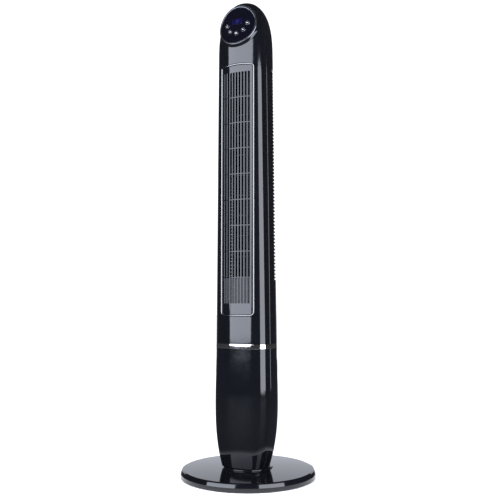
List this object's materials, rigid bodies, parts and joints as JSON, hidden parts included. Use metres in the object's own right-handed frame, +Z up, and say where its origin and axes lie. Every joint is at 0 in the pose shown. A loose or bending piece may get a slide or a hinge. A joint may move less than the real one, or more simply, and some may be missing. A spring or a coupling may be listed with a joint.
{
  "type": "tower fan",
  "caption": "Slim oscillating tower fan with a slatted outlet, domed head with a round control panel and a round base.",
  "frame": {"origin": "centre of the round base on the floor", "axes": "+Z up along the column; the outlet and control panel face -Y; +X is to the right seen from behind the outlet looking forwards to +Y"},
  "size_m": [0.326, 0.3268, 1.1644],
  "materials": {
    "gloss_black": "gloss black moulded ABS",
    "satin_black": "satin black ABS",
    "impeller_grey": "dark grey glass-filled plastic",
    "bright_chrome": "polished chrome plating",
    "satin_silver": "satin silver paint",
    "panel_black": "polished black acrylic",
    "display_blue": "tinted window over a blue display",
    "button_silver": "silver painted ABS",
    "zinc_steel": "zinc-plated steel",
    "core_steel": "laminated steel",
    "copper_winding": "varnished copper wire",
    "screw_steel": "blackened steel",
    "bush_bronze": "sintered bronze",
    "white_acetal": "natural acetal",
    "black_rubber": "black rubber",
    "circuit_green": "circuit board",
    "component_black": "moulded components"
  },
  "bodies": {
    "base": {"base_cover": "gloss_black", "cord_grommet": "black_rubber", "base_underplate": "satin_black", "rubber_feet": "black_rubber", "base_screws": "screw_steel", "ballast_ring": "zinc_steel", "pivot_spindle": "zinc_steel", "spindle_nut": "zinc_steel", "thrust_washer": "white_acetal", "retaining_ring": "zinc_steel", "fixed_gear": "white_acetal"},
    "column": {"lower_front_shell": "gloss_black", "lower_rear_shell": "gloss_black", "upper_front_shell": "gloss_black", "upper_rear_shell": "gloss_black", "outlet_frame": "gloss_black", "front_grille": "gloss_black", "control_housing": "gloss_black", "rear_grille": "satin_black", "joint_ring": "satin_black", "turntable": "satin_black", "drive_bracket": "satin_black", "duct_floor": "satin_black", "duct_ceiling": "satin_black", "scroll_wall": "satin_black", "vortex_tongue": "satin_black", "bright_band": "bright_chrome", "panel_ring": "satin_silver", "panel_lens": "panel_black", "display_window": "display_blue", "motor_bell_lower": "zinc_steel", "motor_bell_upper": "zinc_steel", "oscillation_motor": "zinc_steel", "motor_mount": "zinc_steel", "stator_core": "core_steel", "stator_windings": "copper_winding", "bracket_screws": "screw_steel", "shell_screws": "screw_steel", "motor_bushes": "bush_bronze", "top_bearing": "black_rubber", "power_board": "circuit_green", "display_board": "circuit_green", "board_components": "component_black", "tact_switches": "component_black", "display_module": "component_black"},
    "impeller": {"impeller_section_1": "impeller_grey", "impeller_section_2": "impeller_grey", "impeller_section_3": "impeller_grey", "impeller_section_4": "impeller_grey", "impeller_section_5": "impeller_grey", "impeller_top_shaft": "impeller_grey", "motor_rotor": "core_steel", "motor_shaft": "zinc_steel"},
    "pinion": {"drive_pinion": "white_acetal", "pinion_shaft": "zinc_steel"},
    "button_power_body": {"button_power": "button_silver"},
    "button_speed_body": {"button_speed": "button_silver"},
    "button_mode_body": {"button_mode": "button_silver"},
    "button_timer_body": {"button_timer": "button_silver"},
    "button_swing_body": {"button_swing": "button_silver"}
  },
  "joints": [
    {"name": "oscillation", "type": "hinge", "parent": "base", "child": "column", "pos_m": [0, 0, 0.031], "axis": [0, 0, 1], "range_deg": [-37.5, 37.5]},
    {"name": "impeller_spin", "type": "hinge", "parent": "column", "child": "impeller", "pos_m": [0, 0.004, 0.482], "axis": [0, 0, 1], "continuous": true},
    {"name": "pinion_spin", "type": "hinge", "parent": "column", "child": "pinion", "pos_m": [0, 0.04, 0.07], "axis": [0, 0, 1], "range_deg": [-115, 115]},
    {"name": "power_press", "type": "slide", "parent": "column", "child": "button_power_body", "axis": [0, 0.9877, -0.1564], "range_m": [0, 0.0008], "stiffness_N_per_m": 600},
    {"name": "speed_press", "type": "slide", "parent": "column", "child": "button_speed_body", "axis": [0, 0.9877, -0.1564], "range_m": [0, 0.0008], "stiffness_N_per_m": 600},
    {"name": "mode_press", "type": "slide", "parent": "column", "child": "button_mode_body", "axis": [0, 0.9877, -0.1564], "range_m": [0, 0.0008], "stiffness_N_per_m": 600},
    {"name": "timer_press", "type": "slide", "parent": "column", "child": "button_timer_body", "axis": [0, 0.9877, -0.1564], "range_m": [0, 0.0008], "stiffness_N_per_m": 600},
    {"name": "swing_press", "type": "slide", "parent": "column", "child": "button_swing_body", "axis": [0, 0.9877, -0.1564], "range_m": [0, 0.0008], "stiffness_N_per_m": 600}
  ],
  "couplings": [
    {"joint": "pinion_spin", "follows": "oscillation", "ratio": 3}
  ]
}
